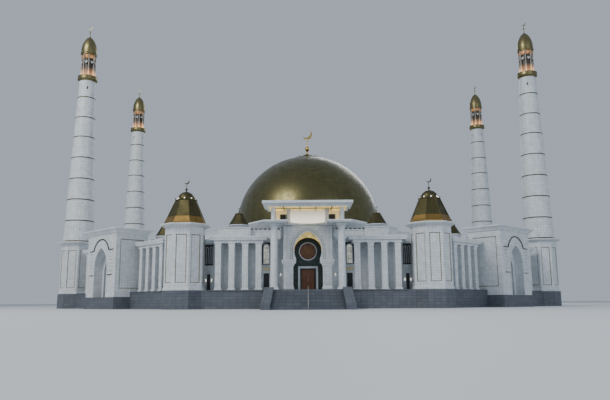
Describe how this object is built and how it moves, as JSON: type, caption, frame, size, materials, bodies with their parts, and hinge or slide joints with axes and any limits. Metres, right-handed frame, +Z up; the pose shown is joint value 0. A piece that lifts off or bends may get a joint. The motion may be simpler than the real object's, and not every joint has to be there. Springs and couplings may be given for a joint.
{
  "type": "1:10 scale model of a domed mosque building",
  "caption": "Octagonal domed mosque with tall minarets, gateways, pavilions, colonnades and a front portal, as a 1:10 model with hinged entrance doors.",
  "frame": {"origin": "on the dome's vertical axis, at the foot of the podium and front steps (ground level)", "axes": "+Z up, -Y towards the front steps and portal, +X to the right as seen from the front"},
  "size_m": [16.24, 17.9603, 9.6838],
  "materials": {
    "white_marble": "polished white marble cladding",
    "grey_stone": "dark honed stone",
    "dark_marble": "dark green marble",
    "gilding": "satin gilded metal",
    "carved_wood": "oiled carved hardwood",
    "tinted_glass": "coloured glass in lead"
  },
  "bodies": {
    "building": {"podium": "grey_stone", "steps_handrail": "grey_stone", "steps_lower": "grey_stone", "steps_upper": "grey_stone", "steps_wall_left": "grey_stone", "steps_wall_right": "grey_stone", "hall_side_back": "white_marble", "hall_side_left": "white_marble", "hall_side_left_back": "white_marble", "hall_side_left_front": "white_marble", "hall_side_right": "white_marble", "hall_side_right_back": "white_marble", "hall_side_right_front": "white_marble", "hall_wall_front_left": "white_marble", "hall_wall_front_right": "white_marble", "portico_front_left": "white_marble", "portico_front_right": "white_marble", "core_roof": "white_marble", "core_wall": "white_marble", "ring_roof": "white_marble", "dome": "gilding", "dome_finial": "gilding", "kiosk_back_to_left_back": "gilding", "kiosk_front_to_right_front": "gilding", "kiosk_left_back_to_left": "gilding", "kiosk_left_front_to_front": "gilding", "kiosk_left_to_left_front": "gilding", "kiosk_right_back_to_back": "gilding", "kiosk_right_front_to_right": "gilding", "kiosk_right_to_right_back": "gilding", "pavilion_back_to_left_back": "white_marble", "pavilion_front_to_right_front": "white_marble", "pavilion_left_front_to_front": "white_marble", "pavilion_right_back_to_back": "white_marble", "pavilion_roof_back_to_left_back": "gilding", "pavilion_roof_front_to_right_front": "gilding", "pavilion_roof_left_front_to_front": "gilding", "pavilion_roof_right_back_to_back": "gilding", "minaret_lantern_left_back_to_left": "gilding", "minaret_lantern_left_to_left_front": "gilding", "minaret_lantern_right_front_to_right": "gilding", "minaret_lantern_right_to_right_back": "gilding", "minaret_left_back_to_left": "white_marble", "minaret_left_to_left_front": "white_marble", "minaret_right_front_to_right": "white_marble", "minaret_right_to_right_back": "white_marble", "gateway_left_back": "white_marble", "gateway_left_front": "white_marble", "gateway_right_back": "white_marble", "gateway_right_front": "white_marble", "portal_canopy": "white_marble", "portal_link": "white_marble", "portal_porch": "white_marble", "portal_screen": "white_marble", "entrance_rose_window": "tinted_glass", "entrance_wall_over": "dark_marble"},
    "door_left": {"door_leaf_left": "carved_wood"},
    "door_right": {"door_leaf_right": "carved_wood"}
  },
  "joints": [
    {"name": "door_left_hinge", "type": "hinge", "parent": "building", "child": "door_left", "pos_m": [-0.157, -7.144, 0.73], "axis": [0, 0, 1], "range_deg": [0, 90]},
    {"name": "door_right_hinge", "type": "hinge", "parent": "building", "child": "door_right", "pos_m": [0.157, -7.144, 0.73], "axis": [0, 0, -1], "range_deg": [0, 90]}
  ]
}
